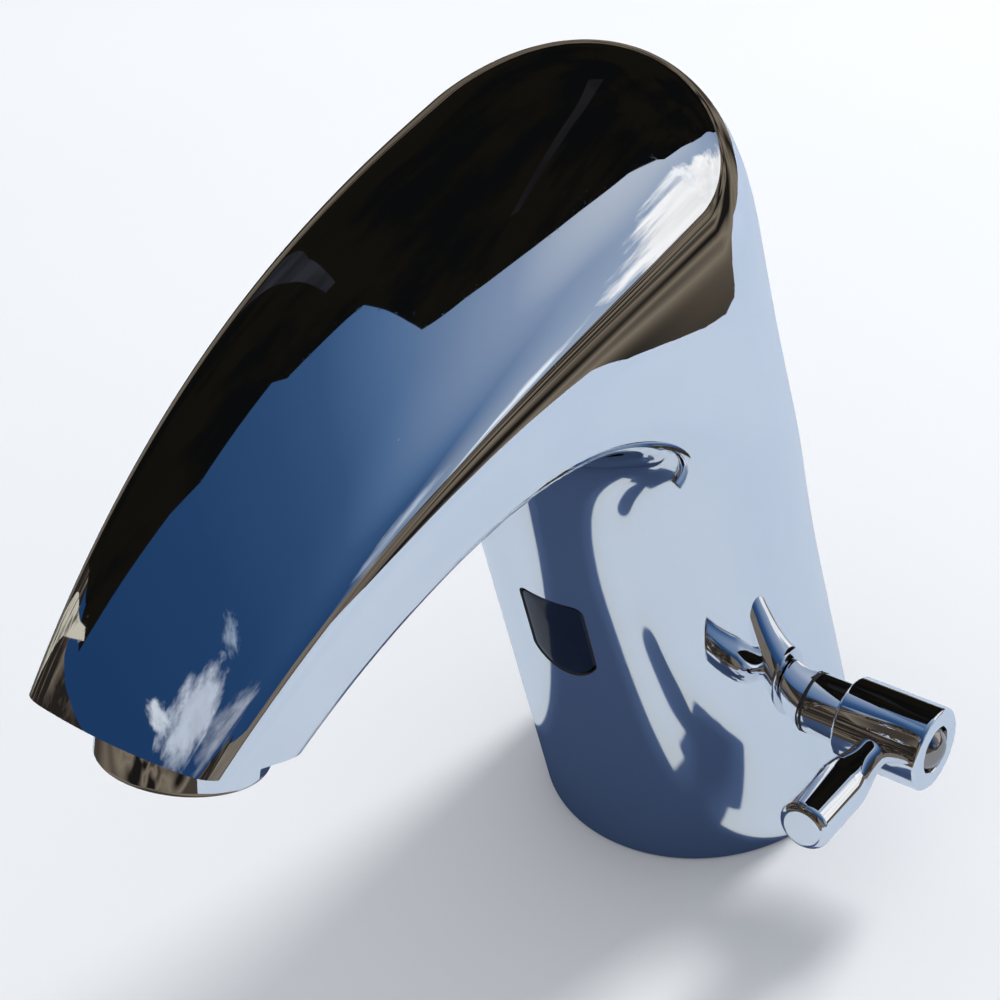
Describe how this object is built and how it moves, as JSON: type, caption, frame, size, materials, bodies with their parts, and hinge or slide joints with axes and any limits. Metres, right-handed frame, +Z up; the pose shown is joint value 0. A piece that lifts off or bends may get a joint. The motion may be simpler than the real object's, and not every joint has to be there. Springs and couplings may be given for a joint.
{
  "type": "sensor tap",
  "caption": "Leaning round chrome tap column that runs into a tongue-shaped spout, with a dark sensor window in front and a small mixing lever on its right.",
  "frame": {"origin": "centre of the round foot, on the face that stands on the basin", "axes": "+Z up, -Y along the spout, +X towards the mixing lever"},
  "size_m": [0.0756, 0.1471, 0.1427],
  "materials": {
    "body_casting": "polished chrome plate",
    "base_gasket": "matte",
    "base_plate": "machined",
    "base_plate_seal": "matte",
    "base_screws": "machined",
    "block_screws": "machined",
    "port_strainers": "perforated sheet",
    "mixing_block": "cast and machined",
    "check_valves": "moulded",
    "cartridge_housing": "moulded",
    "ceramic_fixed_disc": "ground",
    "ceramic_moving_disc": "ground",
    "cartridge_nut": "machined",
    "spindle_seals": "matte",
    "spindle": "turned",
    "stem_collar": "polished chrome plate",
    "collar_seal": "matte",
    "handle_hub": "polished chrome plate",
    "lever_arm": "polished chrome plate",
    "hub_screw": "machined",
    "hub_cap": "polished chrome plate",
    "sensor_window": "gloss, infrared-clear",
    "sensor_gasket": "matte",
    "sensor_housing": "moulded",
    "sensor_board": "solder mask",
    "ir_emitter": "clear-tinted",
    "ir_receiver": "dark",
    "status_led": "tinted",
    "sensor_bracket": "stamped",
    "sensor_screws": "machined",
    "mixed_water_tube": "drawn",
    "solenoid_coil": "moulded over the winding",
    "solenoid_yoke": "stamped, plated",
    "armature_tube": "drawn",
    "solenoid_plunger": "turned",
    "plunger_spring": "wire",
    "diaphragm": "moulded",
    "valve_body": "moulded",
    "valve_cover": "moulded",
    "valve_screws": "machined",
    "waterway_tube": "drawn",
    "outlet_adapter": "moulded",
    "aerator_washer": "matte",
    "aerator_housing": "polished chrome plate",
    "aerator_insert": "moulded"
  },
  "bodies": {
    "body": {"body_casting": "body_casting", "base_gasket": "base_gasket", "base_plate": "base_plate", "base_plate_seal": "base_plate_seal", "base_screws": "base_screws", "block_screws": "block_screws", "port_strainers": "port_strainers", "mixing_block": "mixing_block", "check_valves": "check_valves", "cartridge_housing": "cartridge_housing", "ceramic_fixed_disc": "ceramic_fixed_disc", "cartridge_nut": "cartridge_nut", "spindle_seals": "spindle_seals", "stem_collar": "stem_collar", "collar_seal": "collar_seal", "sensor_window": "sensor_window", "sensor_gasket": "sensor_gasket", "sensor_housing": "sensor_housing", "sensor_board": "sensor_board", "ir_emitter": "ir_emitter", "ir_receiver": "ir_receiver", "status_led": "status_led", "sensor_bracket": "sensor_bracket", "sensor_screws": "sensor_screws", "mixed_water_tube": "mixed_water_tube", "solenoid_coil": "solenoid_coil", "solenoid_yoke": "solenoid_yoke", "armature_tube": "armature_tube", "plunger_spring": "plunger_spring", "diaphragm": "diaphragm", "valve_body": "valve_body", "valve_cover": "valve_cover", "valve_screws": "valve_screws", "waterway_tube": "waterway_tube", "outlet_adapter": "outlet_adapter", "aerator_washer": "aerator_washer", "aerator_housing": "aerator_housing", "aerator_insert": "aerator_insert"},
    "lever": {"handle_hub": "handle_hub", "lever_arm": "lever_arm", "hub_screw": "hub_screw", "hub_cap": "hub_cap", "spindle": "spindle", "ceramic_moving_disc": "ceramic_moving_disc"},
    "plunger": {"solenoid_plunger": "solenoid_plunger"}
  },
  "joints": [
    {"name": "lever_turn", "type": "hinge", "parent": "body", "child": "lever", "pos_m": [0, -0.00405, 0.0256], "axis": [1, 0, 0], "range_deg": [-45, 45]},
    {"name": "plunger_slide", "type": "slide", "parent": "body", "child": "plunger", "axis": [0, 0.1564, -0.9877], "range_m": [0, 0.002], "stiffness_N_per_m": 250, "springref_m": -0.003, "deforming": ["plunger_spring"]}
  ]
}
